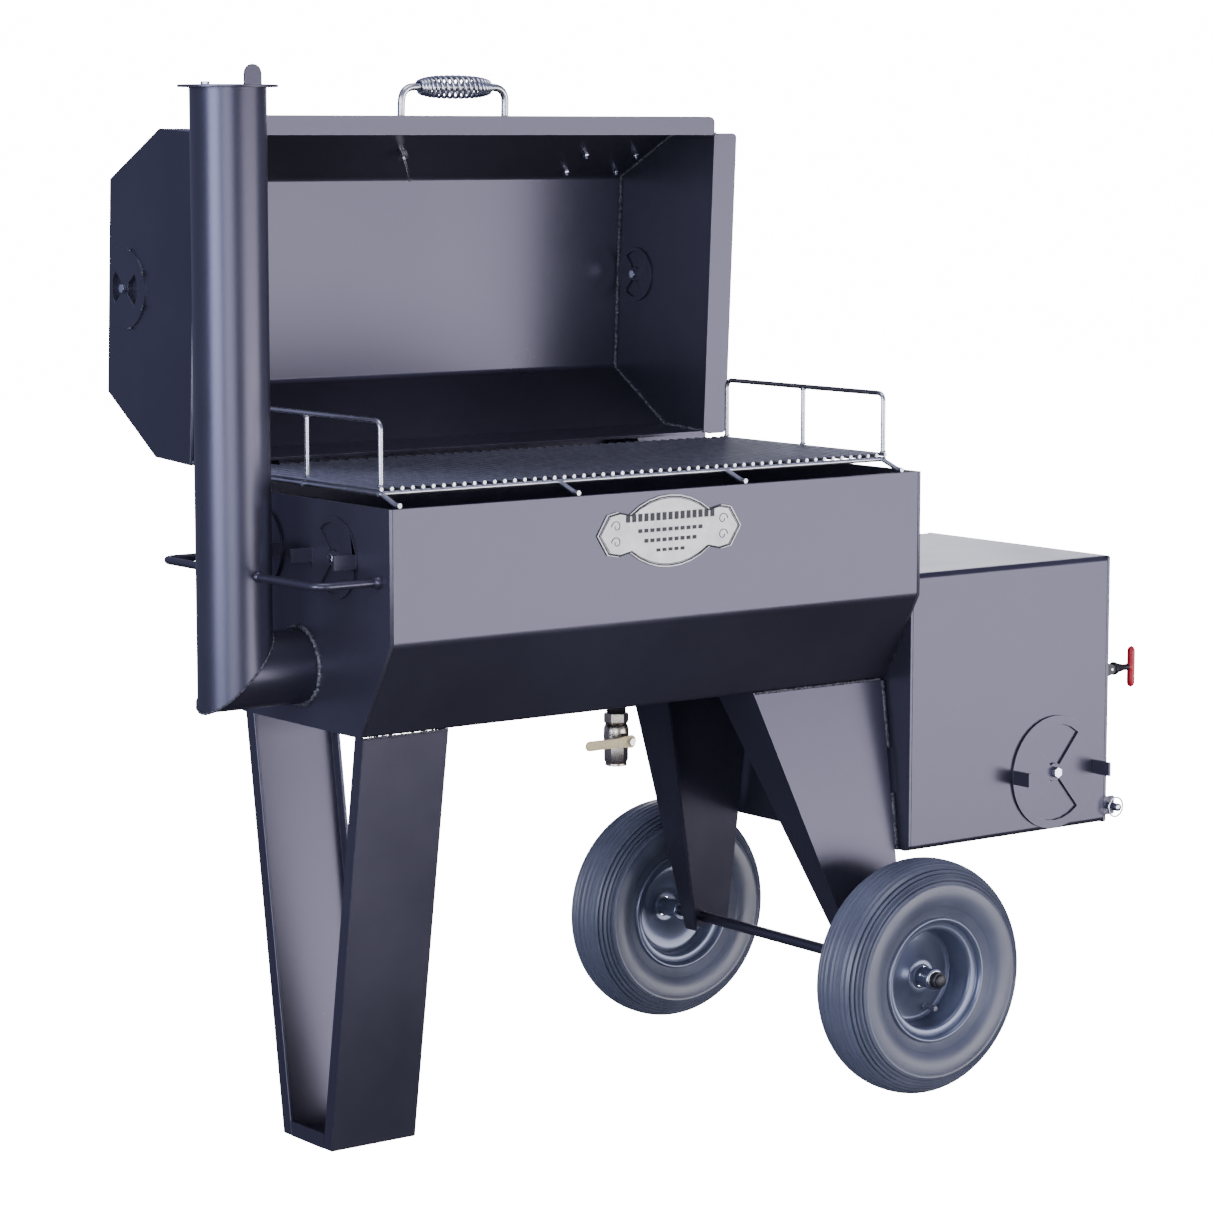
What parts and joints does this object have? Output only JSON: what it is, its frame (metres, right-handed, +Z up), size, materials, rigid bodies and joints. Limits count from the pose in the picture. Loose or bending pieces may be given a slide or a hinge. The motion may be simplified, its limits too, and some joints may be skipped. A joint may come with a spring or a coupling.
{
  "type": "offset smoker",
  "caption": "Wheeled steel smoker with a lidded cook chamber, an offset firebox, a chimney, a lift-out grate and a drain valve.",
  "frame": {"origin": "on the ground, below the centre of the bounding box, with the lid open", "axes": "+X from the chimney to the firebox, +Y from the front to the lid's hinges, +Z up"},
  "size_m": [1.8078, 0.9872, 1.6863],
  "materials": {
    "paint": "satin high-temperature paint, dark charcoal",
    "stainless": "plain stainless rod",
    "zinc": "bright zinc plate",
    "brass": "nickel-plated brass, satin",
    "lever": "cream-yellow vinyl-coated lever",
    "red": "gloss red vinyl grip",
    "rubber": "black rubber, matt",
    "rim": "gloss grey-blue enamel",
    "black": "black, semi-matt",
    "plaque": "polished plate with a dark edge line"
  },
  "bodies": {
    "smoker": {"tub_shell": "paint", "tub_left_end": "paint", "tub_right_end": "paint", "nameplate": "plaque", "stack_pipe": "paint", "flue_pipe": "paint", "side_bar_front": "paint", "side_bar_rear": "paint", "stack_cap_bolt": "zinc", "tub_vent_bolt_front": "zinc", "tub_vent_bolt_rear": "zinc", "lid_hinge_base_left": "paint", "lid_hinge_base_right": "paint", "lid_stop_rail": "paint", "firebox_shell": "paint", "firebox_inner_end": "paint", "fire_grate": "black", "damper_bolt": "zinc", "door_hinge_base_upper": "paint", "door_hinge_base_lower": "paint", "latch_keeper": "paint", "left_leg_front": "paint", "left_leg_rear": "paint", "left_foot": "paint", "right_leg_front": "paint", "right_leg_rear": "paint", "axle": "paint", "axle_cap_front": "black", "axle_cap_rear": "black", "drain_nipple": "black", "drain_valve_body": "brass"},
    "lid": {"lid_shell": "paint", "lid_left_end": "paint", "lid_right_end": "paint", "lid_handle_rod": "stainless", "lid_handle_spring": "stainless", "thermometer": "stainless", "lid_hinge_arm_left": "paint", "lid_hinge_arm_right": "paint", "lid_vent_bolt_left": "zinc", "lid_vent_bolt_right": "zinc"},
    "lid_vent_left": {"lid_vent_left": "paint"},
    "lid_vent_right": {"lid_vent_right": "paint"},
    "tub_vent_front": {"tub_vent_front": "paint"},
    "tub_vent_rear": {"tub_vent_rear": "paint"},
    "firebox_damper": {"firebox_damper": "paint"},
    "stack_cap": {"stack_cap": "paint"},
    "firebox_door": {"firebox_door": "paint"},
    "latch": {"latch_shaft": "black", "latch_grip": "red"},
    "lynch_pin": {"lynch_pin": "zinc"},
    "wheel_front": {"wheel_tyre_front": "rubber", "wheel_rim_front": "rim"},
    "wheel_rear": {"wheel_tyre_rear": "rubber", "wheel_rim_rear": "rim"},
    "valve_lever": {"drain_valve_lever": "lever"},
    "grate": {"cooking_grate": "stainless", "grate_frame": "stainless", "grate_rail_left": "stainless", "grate_rail_right": "stainless"}
  },
  "joints": [
    {"name": "lid_hinge", "type": "hinge", "parent": "smoker", "child": "lid", "pos_m": [-0.1839, 0.21236, 1.011], "axis": [-1, 0, 0], "range_deg": [-87, 0]},
    {"name": "lid_vent_left_turn", "type": "hinge", "parent": "lid", "child": "lid_vent_left", "pos_m": [-0.7064, 0.42648, 1.32964], "axis": [1, 0, 0], "range_deg": [0, 90]},
    {"name": "lid_vent_right_turn", "type": "hinge", "parent": "lid", "child": "lid_vent_right", "pos_m": [0.3386, 0.42648, 1.32964], "axis": [1, 0, 0], "range_deg": [0, 90]},
    {"name": "tub_vent_front_turn", "type": "hinge", "parent": "smoker", "child": "tub_vent_front", "pos_m": [-0.7144, -0.20164, 0.941], "axis": [1, 0, 0], "range_deg": [0, 90]},
    {"name": "tub_vent_rear_turn", "type": "hinge", "parent": "smoker", "child": "tub_vent_rear", "pos_m": [-0.7144, 0.01236, 0.941], "axis": [1, 0, 0], "range_deg": [0, 90]},
    {"name": "firebox_damper_turn", "type": "hinge", "parent": "smoker", "child": "firebox_damper", "pos_m": [0.6779, -0.33264, 0.483], "axis": [0, -1, 0], "range_deg": [0, 90]},
    {"name": "stack_cap_swivel", "type": "hinge", "parent": "smoker", "child": "stack_cap", "pos_m": [-0.8279, -0.02804, 1.652], "axis": [0, 0, 1], "range_deg": [0, 120]},
    {"name": "firebox_door_hinge", "type": "hinge", "parent": "smoker", "child": "firebox_door", "pos_m": [0.8039, 0.15536, 0.616], "axis": [0, 0, 1], "range_deg": [0, 120]},
    {"name": "latch_turn", "type": "hinge", "parent": "firebox_door", "child": "latch", "pos_m": [0.8069, -0.29664, 0.645], "axis": [1, 0, 0], "range_deg": [0, 90]},
    {"name": "lynch_pin_pull", "type": "slide", "parent": "firebox_door", "child": "lynch_pin", "axis": [0, -1, 0], "range_m": [0, 0.045]},
    {"name": "wheel_front_spin", "type": "hinge", "parent": "smoker", "child": "wheel_front", "pos_m": [0.2766, -0.43464, 0.197], "axis": [0, 1, 0], "continuous": true},
    {"name": "wheel_rear_spin", "type": "hinge", "parent": "smoker", "child": "wheel_rear", "pos_m": [0.2766, 0.24536, 0.197], "axis": [0, 1, 0], "continuous": true},
    {"name": "valve_lever_turn", "type": "hinge", "parent": "smoker", "child": "valve_lever", "pos_m": [-0.0954, -0.13264, 0.587], "axis": [0, -1, 0], "range_deg": [0, 90]},
    {"name": "grate_lift", "type": "slide", "parent": "smoker", "child": "grate", "axis": [0, 0, 1], "range_m": [0, 0.25]}
  ]
}
